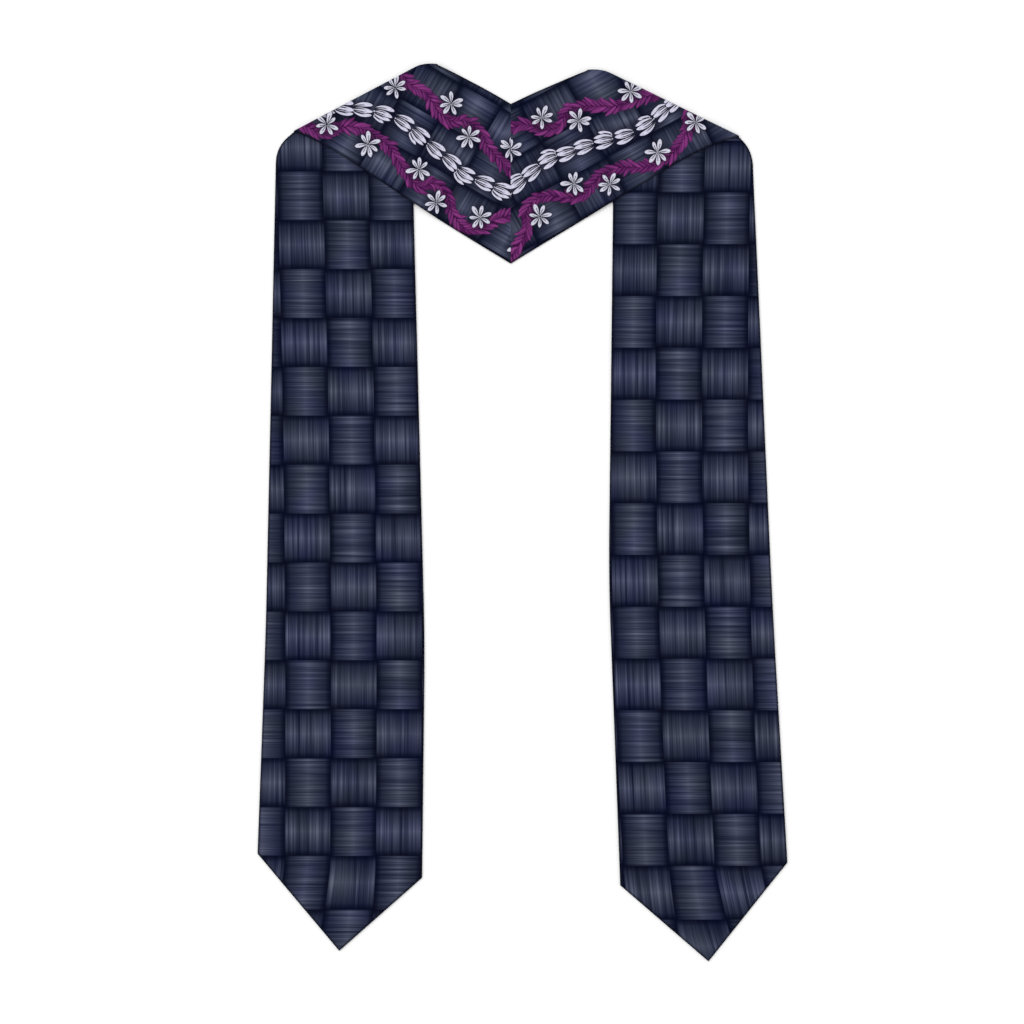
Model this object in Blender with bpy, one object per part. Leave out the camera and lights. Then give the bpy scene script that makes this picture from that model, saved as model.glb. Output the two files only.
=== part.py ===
"""Graduation stole lying flat with its back neck uppermost, in metres, +Z up, on the floor z = 0.

Each half is one strip of two plies: from its pointed end it runs up as a panel, turns over along a
slanting fold at the shoulder and crosses its own panel as half of the yoke, to the seam at the centre
back. Every point is laid out by how far it is out from that seam and up from the yoke's lower point.
"""

from collections import namedtuple

import bpy
import numpy as np

PLY = 0.0010  # one ply of cloth
PLY_GAP = 0.0003  # between the face and the lining
SEAM_GAP = 0.0003  # between the two halves at the centre back
FOLD_GAP = 0.0005  # between the yoke and the panel under it
STRIP = 2 * PLY + PLY_GAP  # thickness of both plies together
HALF_WIDTH = 0.2500  # from the seam out to the right panel's outer corner
YOKE_HEIGHT = 0.1780  # from the yoke's lower point up to its highest
PANEL_DROP = 0.5350  # from the yoke's lower point down to the panels' outer corners
POINT_DEPTH = 0.0900  # of each pointed end, below those corners
PANEL_LENGTH = PANEL_DROP + YOKE_HEIGHT  # about, from the fold to the corners
SEAM_LENGTH = 0.1440  # from the neck notch down to the yoke's lower point
LOOP_RISE = 0.0018  # how much further apart the layers stand in the soft fold
LOOP_REACH = 0.0120  # how far in from the fold they close up
DROP_START = 0.0060  # past the panel's inner edge, where the yoke begins to come down to the floor
DROP_LENGTH = 0.0280
SHOULDER_DROP = 0.0300  # height of the rounding from the fold into the panel's outer edge
SHOULDER_TURN = 0.0120  # how far down it lies where the tangents of its two ends cross
ARC_RATIO = 1.2  # its length for its height
LOWER_EDGE_BOW = 0.0063  # how far the yoke's lower edge arches near the shoulder

# Per half, as shares: out and bow of HALF_WIDTH, up of YOKE_HEIGHT, down of PANEL_DROP and depth of
# POINT_DEPTH. A bow is how far an edge stands away from its straight line.
Half = namedtuple(
    "Half",
    "name side apex_out apex_up fold_out fold_up shoulder_out crossing_out crossing_up"
    " inner_out inner_down outer_out outer_down tip_out tip_depth"
    " neck_bow fold_bow inner_bow outer_bow",
)
HALVES = (
    Half("left", -1, 0.298, 1.004, 0.780, 0.667, 0.842, 0.356, 0.298,
         0.320, 1.035, 0.914, 0.993, 0.617, 0.98, 0.0164, 0.0132, -0.0232, -0.0056),
    Half("right", 1, 0.303, 0.981, 0.814, 0.657, 0.868, 0.366, 0.298,
         0.393, 1.041, 0.998, 1.001, 0.712, 1.02, 0.0080, 0.0104, -0.0240, -0.0072),
)

COLUMNS = 13  # points across the strip, an odd number, so that one runs to the tip
ROLL_ROWS = 5  # rows round one side of the fold's roll
SLANT = 1.15  # length along the strip for its distance from the slanting fold
PANEL_SHARES = (0.009, 0.017, 0.031, 0.052, 0.085, 0.18, 0.38, 0.61, 0.83, 1.0)  # down from the fold
YOKE_SHARES = (0.035, 0.065, 0.11, 0.17, 0.25, 0.34, 0.43, 0.52, 0.61, 0.70, 0.80, 0.90, 1.0)

FACE_COLOUR = (0.020, 0.027, 0.052, 1.0)
LINING_COLOUR = (0.018, 0.023, 0.050, 1.0)


def lerp(a, b, share):
    """Points along the straight line from a to b, one for each share."""
    return np.asarray(a) + np.multiply.outer(share, np.subtract(b, a))


def above(out, up):
    return np.array([out * HALF_WIDTH, up * YOKE_HEIGHT])


def below(out, down, depth=0.0):
    return np.array([out * HALF_WIDTH, -down * PANEL_DROP - depth * POINT_DEPTH])


def early_bow(share, power):
    """A bow that is 0 at both ends and reaches 1 at the share 1 / (1 + power)."""
    peak = 1 / (1 + power)
    return share * (1 - share) ** power / (peak * (1 - peak) ** power)


def coons(across_start, across_end, along_first, along_last, shares, columns):
    """The smooth patch between four edges: both ruled surfaces added, less the one through the corners."""
    s, w = shares[:, None, None], columns[None, :, None]
    ruled = (1 - s) * across_start + s * across_end
    other = (1 - w) * along_first[:, None] + w * along_last[:, None]
    corners = (1 - w) * (1 - s) * across_start[0] + w * (1 - s) * across_start[-1]
    return ruled + other - corners - (1 - w) * s * across_end[0] - w * s * across_end[-1]


def fold_line(half, columns):
    """The fold from the apex to the shoulder, set in by half the strip from the outline it makes."""
    apex, shoulder = above(half.apex_out, half.apex_up), above(half.fold_out, half.fold_up)
    outward = np.array([apex[1] - shoulder[1], shoulder[0] - apex[0]])
    outward /= np.linalg.norm(outward)
    bow = half.fold_bow * HALF_WIDTH * early_bow(columns, 2)
    return lerp(apex, shoulder, columns) + (bow - STRIP / 2)[:, None] * outward


def panel_plan(half, fold, shares, columns):
    """The panel seen from above, from the fold, row 0, down to its pointed end, the last row."""
    inner_end, outer_end = below(half.inner_out, half.inner_down), below(half.outer_out, half.outer_down)
    crossing = above(half.crossing_out, half.crossing_up)
    at_crossing = (fold[0, 1] - crossing[1]) / (fold[0, 1] - inner_end[1])
    shown = np.clip((shares - at_crossing) / (1 - at_crossing), 0, 1)
    hidden = lerp(fold[0], crossing, np.clip(shares / at_crossing, 0, 1))
    inner = np.where((shares < at_crossing)[:, None], hidden, lerp(crossing, inner_end, shown))
    inner[:, 0] += half.inner_bow * HALF_WIDTH * 4 * shown * (1 - shown)

    top, corner = above(half.shoulder_out, half.fold_up), above(half.shoulder_out, half.fold_up)
    top[1] -= SHOULDER_DROP
    corner[1] -= SHOULDER_TURN
    arc = ARC_RATIO * SHOULDER_DROP / (fold[-1, 1] - outer_end[1])
    turn = np.clip(shares / arc, 0, 1)[:, None]
    straight = np.clip((shares - arc) / (1 - arc), 0, 1)
    outer = lerp(top, outer_end, straight)
    outer[:, 0] += half.outer_bow * HALF_WIDTH * 4 * straight * (1 - straight)
    outer += (1 - turn) ** 2 * (fold[-1] - top) + 2 * turn * (1 - turn) * (corner - top)

    tip = below(half.tip_out, half.outer_down, half.tip_depth)
    point = np.where((columns < 0.5)[:, None], lerp(inner_end, tip, 2 * columns),
                     lerp(tip, outer_end, 2 * columns - 1))
    return coons(fold, point, inner, outer, shares, columns), inner


def yoke_plan(half, fold, shares, columns):
    """The half yoke seen from above, from the fold, row 0, to the centre back seam, the last row."""
    neck = lerp(fold[0], (SEAM_GAP / 2, SEAM_LENGTH), shares)
    neck[:, 1] += half.neck_bow * HALF_WIDTH * early_bow(shares, 2)
    lower = lerp(fold[-1], (SEAM_GAP / 2, 0.0), shares)
    lower[:, 1] += LOWER_EDGE_BOW * early_bow(shares, 4)
    seam = lerp((SEAM_GAP / 2, SEAM_LENGTH), (SEAM_GAP / 2, 0.0), columns)
    return coons(fold, seam, neck, lower, shares, columns)


def distance_to(line, points):
    """How far each point is from a line of several straight stretches."""
    start, step = line[:-1], np.diff(line, axis=0)
    away = points[..., None, :] - start
    share = np.clip((away * step).sum(-1) / (step ** 2).sum(-1), 0, 1)
    return np.linalg.norm(away - share[..., None] * step, axis=-1).min(-1)


def smooth(share):
    share = np.clip(share, 0, 1)
    return share * share * (3 - 2 * share)


def middle_surface(half):
    """The strip's middle as a grid of points, from its pointed end to the seam, neck edge first.

    Near the fold both layers close on a half round whose height is the space between them. That space
    is the pressed one plus a loop that fades with the distance from the fold. Past the panel's inner
    edge the yoke comes down to the floor on a smooth step.
    """
    columns = np.linspace(0, 1, COLUMNS)
    fold = fold_line(half, columns)
    pressed = STRIP + FOLD_GAP
    radius = (pressed + LOOP_RISE) / 2
    roll = SLANT * radius * (1 - np.cos(np.linspace(0, np.pi / 2, ROLL_ROWS)))
    panel, inner = panel_plan(half, fold, np.append(roll / PANEL_LENGTH, PANEL_SHARES), columns)
    yoke = yoke_plan(half, fold, np.append(roll / (half.fold_out * HALF_WIDTH), YOKE_SHARES), columns)

    def height(plan, upper):
        away = distance_to(fold, plan)
        turn = np.sqrt(1 - (1 - np.clip(away / radius, 0, 1)) ** 2)
        apart = pressed + LOOP_RISE * np.exp(-((away / LOOP_REACH) ** 2))
        if not upper:
            return STRIP / 2 + apart / 2 * (1 - turn)
        edge = np.interp(plan[..., 1], inner[::-1, 1], inner[::-1, 0])
        drop = smooth((edge - plan[..., 0] - DROP_START) / DROP_LENGTH)
        return STRIP / 2 + apart / 2 * (1 + turn) * (1 - drop)

    plan = np.concatenate([panel[::-1], yoke[1:]])
    z = np.concatenate([height(panel, False)[::-1], height(yoke[1:], True)])
    grid = np.dstack([half.side * plan[..., 0], plan[..., 1], z])
    return grid if half.side < 0 else grid[:, ::-1]


def normals_of(grid):
    """The unit normal at each point of a grid, towards the lining."""
    normal = np.cross(np.gradient(grid, axis=0), np.gradient(grid, axis=1))
    return normal / np.linalg.norm(normal, axis=-1, keepdims=True)


def ply_solid(name, grid, low, high, colour):
    """A closed sheet between two offsets from the grid, with a rim round it."""
    normal = normals_of(grid)
    rows, columns = grid.shape[:2]
    index = np.arange(rows * columns).reshape(rows, columns)
    a, b, c, d = index[:-1, :-1], index[:-1, 1:], index[1:, 1:], index[1:, :-1]
    top = np.concatenate([np.stack([a, b, c], -1).reshape(-1, 3), np.stack([a, c, d], -1).reshape(-1, 3)])
    loop = np.concatenate([index[0, :-1], index[:-1, -1], index[-1, :0:-1], index[:0:-1, 0]])
    ahead, count = np.roll(loop, -1), rows * columns
    rim = np.concatenate([np.stack([loop, ahead + count, loop + count], -1),
                          np.stack([loop, ahead, ahead + count], -1)])
    faces = np.concatenate([top[:, ::-1], top + count, rim])
    points = np.concatenate([(grid + high * normal).reshape(-1, 3), (grid + low * normal).reshape(-1, 3)])
    mesh = bpy.data.meshes.new(name)
    mesh.from_pydata(points.tolist(), [], faces.tolist())
    material = bpy.data.materials.new(name)
    material.use_nodes = True
    shader = material.node_tree.nodes["Principled BSDF"]
    shader.inputs["Base Color"].default_value = colour
    shader.inputs["Roughness"].default_value = 0.8
    mesh.materials.append(material)
    bpy.context.collection.objects.link(bpy.data.objects.new(name, mesh))


def main():
    for old in list(bpy.data.objects):
        bpy.data.objects.remove(old)
    grids = [middle_surface(half) for half in HALVES]
    points = np.concatenate([grid.reshape(-1, 3) for grid in grids])
    centre = (points.min(0) + points.max(0)) / 2 * (1, 1, 0)
    for half, grid in zip(HALVES, grids):
        ply_solid(half.name + "_face", grid - centre, -STRIP / 2, -PLY_GAP / 2, FACE_COLOUR)
        ply_solid(half.name + "_lining", grid - centre, PLY_GAP / 2, STRIP / 2, LINING_COLOUR)


main()
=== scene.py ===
"""Cloth, print and stage for the graduation stole, in metres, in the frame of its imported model.

Each half is one strip of two plies, a printed face and a plaited-look lining, which turns over along a
slanting fold at the shoulder. A ply is a fine grid of points from its pointed end to the seam at the
centre back, closed by an inner side and a rim. The print is drawn from the ply's flat pattern, so it
follows the cloth round the fold. The pattern is charted in squares, out from the centre back seam and up
from the yoke's lower point.
"""

from collections import namedtuple

import bpy
import numpy as np
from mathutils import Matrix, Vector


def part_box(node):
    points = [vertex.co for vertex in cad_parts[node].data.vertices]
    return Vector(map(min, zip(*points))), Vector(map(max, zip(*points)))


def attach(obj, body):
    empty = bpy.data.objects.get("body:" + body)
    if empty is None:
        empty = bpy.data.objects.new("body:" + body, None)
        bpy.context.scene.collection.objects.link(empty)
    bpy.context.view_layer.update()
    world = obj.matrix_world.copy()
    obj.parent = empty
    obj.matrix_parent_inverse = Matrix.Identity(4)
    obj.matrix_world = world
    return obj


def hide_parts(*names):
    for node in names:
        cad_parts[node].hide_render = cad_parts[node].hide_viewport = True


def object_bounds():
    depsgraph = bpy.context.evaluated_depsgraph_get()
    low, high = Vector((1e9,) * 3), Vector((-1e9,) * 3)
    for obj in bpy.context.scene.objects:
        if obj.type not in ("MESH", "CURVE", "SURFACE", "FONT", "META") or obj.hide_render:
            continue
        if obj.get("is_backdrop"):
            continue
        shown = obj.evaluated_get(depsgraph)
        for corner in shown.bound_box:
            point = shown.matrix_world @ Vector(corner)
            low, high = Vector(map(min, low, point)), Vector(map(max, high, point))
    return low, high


bl_info = {
    "name": "Graduation stole",
    "version": (1, 0, 0),
    "blender": (4, 5, 0),
    "location": "View3D > Sidebar > Stole",
    "description": "Makes the cloth pieces, their print and the stage of a folded graduation stole",
    "category": "Object",
}

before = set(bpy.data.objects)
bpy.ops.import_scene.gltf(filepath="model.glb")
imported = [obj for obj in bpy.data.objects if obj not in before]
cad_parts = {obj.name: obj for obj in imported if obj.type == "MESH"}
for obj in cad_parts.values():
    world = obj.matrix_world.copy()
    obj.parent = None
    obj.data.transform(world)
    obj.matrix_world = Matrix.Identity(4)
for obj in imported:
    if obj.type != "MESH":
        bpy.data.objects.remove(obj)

# The strip. Thicknesses and driving lengths are those of the solids.
PLY = 0.0010  # one ply of cloth
PLY_GAP = 0.0003  # between the face and the lining
SEAM_GAP = 0.00004  # the sewn seam is drawn nearly closed
FOLD_GAP = 0.0005  # between the yoke and the panel under it
STRIP = 2 * PLY + PLY_GAP  # thickness of both plies together
HALF_WIDTH = 0.2500  # from the seam out to the right panel's outer corner
YOKE_HEIGHT = 0.1780  # about, from the yoke's lower point up to its highest
PANEL_DROP = 0.5350  # from the yoke's lower point down to the panels' outer corners
POINT_DEPTH = 0.0900  # of each pointed end, below those corners
PANEL_LENGTH = PANEL_DROP + YOKE_HEIGHT  # about, from the fold to the corners
SOLID_TIP_DROP = 0.6273  # from the yoke's lower point down to the solid right half's tip
SEAM_LENGTH = 0.1440  # from the neck notch down to the yoke's lower point
LOOP_RISE = 0.0018  # how much further apart the layers stand in the soft fold
LOOP_REACH = 0.0120  # how far in from the fold they close up
DROP_START = 0.0060  # past the panel's inner edge, where the yoke begins to come down to the floor
DROP_LENGTH = 0.0280
APEX_CUT = 0.0090  # reach of the apex's rounding along the neck, and past its bend along the fold
APEX_BEND = 0.0055  # how far along the fold that bend is, where the tangents of its two ends cross
SHOULDER_DROP = 0.0293  # height of the rounding from the fold into the panel's outer edge
SHOULDER_TURN = 0.0110  # how far down it lies where the tangents of its two ends cross
ARC_RATIO = 1.2  # its length for its height
LOWER_RISE = 0.0052  # how far the yoke's lower edge arches near the shoulder
KNEE_EASE = 0.3  # how softly the two stretches of a kneed bow meet
EVEN_BOW = 1  # the power of a bow that peaks halfway
NEAR_BOW = 4  # and of one that peaks a fifth of the way along
STRIP_WIDTH = 0.1350  # about, for spacing the columns
PRESSED = STRIP + FOLD_GAP
ROLL_RADIUS = (PRESSED + LOOP_RISE) / 2
ROLL_SLACK = (np.pi / 2 - 1) * ROLL_RADIUS  # by how much a quarter turn is longer than its radius

# Per half, as shares: out and bow of HALF_WIDTH, up of YOKE_HEIGHT, down of PANEL_DROP, depth of
# POINT_DEPTH and knee of its own edge. A bow is how far an edge stands away from its straight line.
Half = namedtuple(
    "Half",
    "name side apex_out apex_up fold_out fold_up shoulder_out crossing_out crossing_up"
    " inner_out inner_down outer_out outer_down tip_out tip_depth"
    " neck_bow lower_bow inner_bow inner_knee outer_bow outer_knee",
)
LEFT = Half("left", -1, 0.293, 1.033, 0.784, 0.670, 0.848, 0.351, 0.298,
            0.320, 1.0355, 0.914, 0.995, 0.619, 0.974, 0.0054, 0.0, -0.0205, 0.65, -0.0085, 0.68)
RIGHT = Half("right", 1, 0.306, 1.001, 0.825, 0.645, 0.874, 0.369, 0.298,
             0.395, 1.0485, 0.998, 1.010, 0.7135, 0.991, 0.0043, 0.0140, -0.0300, 0.55, -0.0078, 0.63)

# How finely the plies are drawn.
EDGE_STEPS = 6  # points round a soft edge
ROLL_STEPS = 10  # rows round one side of the fold's roll
EASING_STEPS = 3  # wider and wider steps after both of them
EASING = 1.6  # each is this many times as wide as the last
INNER_COLUMNS = 41  # an odd number, so that one runs to the tip
ROW_STEP = 0.0022  # about, between rows along the strip
SLANT = 1.15  # length along the strip for its distance from the slanting fold
RIM = 0.00005  # wall of a ply at its very edge

# The texture map of a ply.
MAP_LENGTHS = 3  # lengths that its outer side is cut into
MAP_WIDTH = 0.150  # how wide each of them is drawn
MAP_ROOM = 0.002  # left free between the parts
MAP_BAND = 3  # the inner side is drawn this many times narrower

# Soft waves of the cloth: height, length and direction in degrees.
WAVES = ((0.00022, 0.205, 78.0), (0.00016, 0.127, 24.0), (0.00012, 0.083, 131.0))

# The stage.
VIEW_CENTRE = (0.0011, -0.2241, 0)  # where the camera looks down, from the yoke's lower point
FLOOR_DEPTH = 0.0001  # below the cloth
LAMP_SIDE = 3.0
LAMP_PLACE = (-0.6, 0.7, 3.2)
LAMP_TILT = (-0.21, -0.18, 0.0)  # in radians, about x, y and z

# The print. One square of its chart is 0.9 mm. A plait is (x, y) of one crossing of its lines, the turn of
# its strips in degrees, the width and height of a cell, and how far the lines lean per square downwards.
# Then comes how far they bow, at which height most, and how far from there they are back in line, and how
# much longer the cells get over the splay at the pointed end.
SQUARE = 0.0009
Plait = namedtuple("Plait", "x y turn width height lean bow bow_at bow_reach stretch")
PANEL_PLAITS = {"left": Plait(-232.7, 92.4, 0, 45.7, 49.0, 0.0115, 1.8, -247, 245, 5.6),
                "right": Plait(101.3, 71.1, 0, 46.1, 51.88, 0.0128, -5.2, -237, 300, 2.0)}
YOKE_PLAITS = {"left": Plait(-92.4, 105.5, -30.0, 46.4, 42.7, 0, 0, 0, 1, 0),
               "right": Plait(95.4, 105.9, 28.0, 50.1, 43.6, 0, 0, 0, 1, 0)}
SPLAY_START = -602  # below this height the panel's strips lean outwards
SPLAY_LENGTH = 52  # and this far below it they are
SPLAY_SHIFT = 6  # about this many squares further out
SPLAY_POWER = 1.2
SPLAY_FROM = 138  # they do so more and more from this far out
SPLAY_WIDTH = 48
SPLAY_LIMITS = (0.4, 1.3)  # the least and the most of the shift that a strip gets

# Leaf garlands, from beyond the fold to beyond the seam, as (out, up).
LEAF_ROWS = {
    "left": (
        ((123, 202), (107, 186), (99, 178), (85, 170), (77, 159), (69, 148), (58, 142), (47, 143),
         (36, 137), (28, 129), (23, 117), (14, 107), (4, 97), (-3, 90)),
        ((221, 143), (203, 136), (187, 130), (171, 136), (153, 136), (137, 128), (123, 118), (114, 105),
         (105, 91), (92, 77), (76, 80), (64, 69), (59, 52), (48, 37), (34, 34), (17, 43), (3, 48), (-5, 50)),
    ),
    "right": (
        ((161, 171), (143, 168), (132, 166), (118, 161), (103, 157), (87, 157), (71, 157), (57, 152),
         (48, 137), (32, 134), (16, 139), (1, 136), (-6, 133)),
        ((178, 163), (178, 146), (178, 136), (171, 121), (160, 109), (146, 100), (132, 96), (114, 96),
         (96, 91), (84, 82), (73, 69), (57, 66), (39, 68), (25, 64), (16, 52), (16, 37), (12, 25), (3, 11),
         (-3, 3)),
    ),
}
# Middles of the buds on their strand, in the same order.
BUD_ROW = {
    "left": ((185, 155), (166, 154), (149, 153), (128, 150), (107, 140), (92, 128), (76, 113), (60, 101),
             (47, 89), (26, 80), (9, 73), (-9, 66)),
    "right": ((177, 171), (161, 160), (151, 153), (135, 138), (113, 128), (93, 123), (73, 118), (55, 111),
              (38, 105), (20, 92), (6, 80), (-8, 70)),
}
# Middles of the flowers, and the direction of one petal in degrees.
FLOWERS = {
    "left": ((116, 176), (60, 160), (42, 127), (184, 139), (143, 119), (92, 94), (75, 61), (31, 46),
             (0, 116), (-8, 16)),
    "right": ((31, 146), (68, 143), (120, 172), (185, 141), (147, 111), (63, 80), (99, 79), (29, 47),
              (-1, 114)),
}
PETAL_TURN = {"left": 81.0, "right": 71.0}
CARRY_START = 12  # squares by which a row of leaves or buds runs straight on past the fold
CARRY_LENGTH = 900  # and then along the strip, on the panel's hidden face
PATH_PIECES = 6  # straight pieces between two points of a row
LEAF_LAYERS = 4  # leaves of one side that can lie over a point
PETALS = 7  # of a flower

# Levels from 0 to 1 of the ramps' colours.
LEAF_LEVELS = (0.15, 0.4, 0.62, 0.9)
PETAL_LEVELS = (0.25, 0.5, 0.75)
PLAIT_GREYS = (2, 14, 30, 46, 62, 78, 94)  # grey levels of the plait, each at a hundredth of itself
PLAIT_TINTS = (0.1, 0.5)  # how blue the plait is, and how blue in its soft patches

# One petal of a bud. Base, tip and bulge say how far it lies to the left, in half widths of the bud, as
# does its width. Start and end are shares of the bud's length. Then comes how far along it the petal is
# widest, and where its dark lines run, as shares of the way from its middle to its edge.
BudPetal = namedtuple("BudPetal", "base tip bulge width start end widest lines")
SPREAD_PETAL = BudPetal(-0.55, -1.22, -0.06, 0.36, 0.02, 0.70, 0.34, (0.1,))
BUD_PETALS = (
    BudPetal(0.50, 0.80, 0.16, 0.35, 0.00, 0.97, 0.62, (-0.25,)),
    BudPetal(-0.22, -0.55, -0.18, 0.33, 0.02, 0.98, 0.50, (0.3,)),
    BudPetal(0.06, -0.08, 0.04, 0.39, 0.00, 1.00, 0.52, (-0.46, 0.44)),
)

# The surface of the cloth.
THREADS = (130.0, 22.0)  # fine threads across one cell of the plait, and how often they change along it
THREAD_STRENGTH = 0.25
THREAD_HEIGHT = 0.00003
# Painted shade along the cloth's edges, standing in for the turned edge rounding away from the light.
EDGE_SHADE_START, EDGE_SHADE_END = 0.0024, 0.0009  # how far in from its edges the painted shade of the turned edge begins and is darkest
EDGE_SHADE_STRENGTH = 0.75


def lerp(a, b, share):
    """Points along the straight line from a to b, one for each share."""
    return np.asarray(a) + np.multiply.outer(share, np.subtract(b, a))


def smooth(share):
    """A step from 0 to 1 that starts and ends level: 3 s squared less 2 s cubed."""
    share = np.clip(share, 0, 1)
    return share * share * (3 - 2 * share)


def above(out, up):
    """A place above the yoke's lower point, from a half's shares."""
    return np.array([out * HALF_WIDTH, up * YOKE_HEIGHT])


def below(out, down, depth=0.0):
    """A place below the yoke's lower point, from a half's shares."""
    return np.array([out * HALF_WIDTH, -down * PANEL_DROP - depth * POINT_DEPTH])


def early_bow(share, power):
    """A bow that is 0 at both ends and reaches 1 at the share 1 / (1 + power)."""
    peak = 1 / (1 + power)
    return share * (1 - share) ** power / (peak * (1 - peak) ** power)


def knee_bow(share, knee):
    """A bow of two nearly straight stretches that meet at the knee, with their corner eased."""
    early, late = share / knee, (1 - share) / (1 - knee)
    ease = np.clip(0.5 + (late - early) / (2 * KNEE_EASE), 0, 1)
    return late + (early - late) * ease - KNEE_EASE * ease * (1 - ease)


def coons(across_start, across_end, along_first, along_last, shares, columns):
    """The smooth patch between four edges: both ruled surfaces added, less the one through the corners."""
    s, w = shares[:, None, None], columns[None, :, None]
    ruled = (1 - s) * across_start + s * across_end
    other = (1 - w) * along_first[:, None] + w * along_last[:, None]
    corners = (1 - w) * (1 - s) * across_start[0] + w * (1 - s) * across_start[-1]
    return ruled + other - corners - (1 - w) * s * across_end[0] - w * s * across_end[-1]


def fold_ends(half):
    """The apex and the shoulder, the corners that the fold's outline runs between."""
    return above(half.apex_out, half.apex_up), above(half.fold_out, half.fold_up)


def fold_outward(half):
    """The unit direction from the fold line away from the cloth."""
    apex, shoulder = fold_ends(half)
    outward = np.array([apex[1] - shoulder[1], shoulder[0] - apex[0]])
    return outward / np.linalg.norm(outward)


def fold_line(half, columns):
    """The fold from the rounded apex to the shoulder, set in by half the strip from the outline it makes."""
    apex, shoulder = fold_ends(half)
    notch = np.array([SEAM_GAP / 2, SEAM_LENGTH])
    slope = (shoulder - apex) / np.linalg.norm(shoulder - apex)
    start = apex + APEX_CUT * (notch - apex) / np.linalg.norm(notch - apex)
    bend, end = apex + APEX_BEND * slope, apex + (APEX_BEND + APEX_CUT) * slope
    rounded = 2 * APEX_CUT / (2 * APEX_CUT + np.linalg.norm(shoulder - end))
    turn = np.clip(columns / rounded, 0, 1)[:, None]
    arc = (1 - turn) ** 2 * start + 2 * turn * (1 - turn) * bend + turn ** 2 * end
    outline = np.where(turn < 1, arc, lerp(end, shoulder, (columns - rounded) / (1 - rounded)))
    heading = np.gradient(outline, columns, axis=0)
    outward = np.stack([-heading[:, 1], heading[:, 0]], 1) / np.linalg.norm(heading, axis=1)[:, None]
    return outline - STRIP / 2 * outward


def panel_plan(half, fold, shares, columns):
    """The panel seen from above, from the fold, row 0, down to its pointed end, the last row, and its inner
    edge. That edge is straight under the yoke and bows below it. The outer edge starts with an arc."""
    inner_end, outer_end = below(half.inner_out, half.inner_down), below(half.outer_out, half.outer_down)
    crossing = above(half.crossing_out, half.crossing_up)
    at_crossing = (fold[0, 1] - crossing[1]) / (fold[0, 1] - inner_end[1])
    shown = np.clip((shares - at_crossing) / (1 - at_crossing), 0, 1)
    hidden = lerp(fold[0], crossing, np.clip(shares / at_crossing, 0, 1))
    inner = np.where((shares < at_crossing)[:, None], hidden, lerp(crossing, inner_end, shown))
    inner[:, 0] += half.inner_bow * HALF_WIDTH * knee_bow(shown, half.inner_knee)

    shoulder = above(half.shoulder_out, half.fold_up)
    top, corner = shoulder - (0, SHOULDER_DROP), shoulder - (0, SHOULDER_TURN)
    arc = ARC_RATIO * SHOULDER_DROP / (fold[-1, 1] - outer_end[1])
    turn = np.clip(shares / arc, 0, 1)[:, None]
    straight = np.clip((shares - arc) / (1 - arc), 0, 1)
    outer = lerp(top, outer_end, straight)
    outer[:, 0] += half.outer_bow * HALF_WIDTH * knee_bow(straight, half.outer_knee)
    outer += (1 - turn) ** 2 * (fold[-1] - top) + 2 * turn * (1 - turn) * (corner - top)

    tip = below(half.tip_out, half.outer_down, half.tip_depth)
    point = np.where((columns < 0.5)[:, None], lerp(inner_end, tip, 2 * columns),
                     lerp(tip, outer_end, 2 * columns - 1))
    return coons(fold, point, inner, outer, shares, columns), inner


def yoke_plan(half, fold, shares, columns):
    """The half yoke seen from above, from the fold, row 0, to the centre back seam, the last row."""
    seam_top, seam_end = (SEAM_GAP / 2, SEAM_LENGTH), (SEAM_GAP / 2, 0.0)
    even = HALF_WIDTH * early_bow(shares, EVEN_BOW)
    neck = lerp(fold[0], seam_top, shares)
    neck[:, 1] += half.neck_bow * even
    lower = lerp(fold[-1], seam_end, shares)
    lower[:, 1] += half.lower_bow * even + LOWER_RISE * early_bow(shares, NEAR_BOW)
    seam = lerp(seam_top, seam_end, columns)
    return coons(fold, seam, neck, lower, shares, columns)


def nearest_on(line, points):
    """For each point, its distance from a line of several straight stretches, and the stretch and share."""
    start, step = line[:-1], np.diff(line, axis=0)
    away = points[..., None, :] - start
    share = np.clip((away * step).sum(-1) / (step ** 2).sum(-1), 0, 1)
    distance = np.linalg.norm(away - share[..., None] * step, axis=-1)
    stretch = distance.argmin(-1)
    return distance.min(-1), stretch, np.take_along_axis(share, stretch[..., None], -1)[..., 0]


def steps_in(radius, count):
    """Distances in from an edge: even round a quarter turn of the radius, then each wider than the last."""
    turn = radius * (1 - np.cos(np.linspace(0, np.pi / 2, count)))
    return np.append(turn, turn[-1] * EASING ** np.arange(1, EASING_STEPS + 1))


def column_shares(edge_round):
    """Columns across the strip: close round both edges, and even between them."""
    edge = steps_in(edge_round, EDGE_STEPS) / STRIP_WIDTH
    inside = np.linspace(edge[-1], 1 - edge[-1], INNER_COLUMNS)
    return np.concatenate([edge[:-1], inside, 1 - edge[-2::-1]])


def row_shares(length, edge_round):
    """Rows from the fold to an end: close round the roll, even along the strip, close again at the edge."""
    near = steps_in(SLANT * ROLL_RADIUS, ROLL_STEPS)
    edge = steps_in(edge_round, EDGE_STEPS)
    count = round((length - near[-1] - edge[-1]) / ROW_STEP)
    even = np.linspace(near[-1], length - edge[-1], count + 1)
    return np.concatenate([near[:-1], even, length - edge[-2::-1]]) / length


def cloth_rise(plan, waviness):
    """How high the cloth's soft waves lift it: a sum of sine waves over the floor plan, never below 0."""
    rise = np.zeros(plan.shape[:-1])
    for height, length, direction in WAVES:
        heading = np.radians(direction)
        along = plan[..., 0] * np.cos(heading) + plan[..., 1] * np.sin(heading)
        rise += height * (1 + np.sin(2 * np.pi * along / length + direction))
    return waviness * rise


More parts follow.
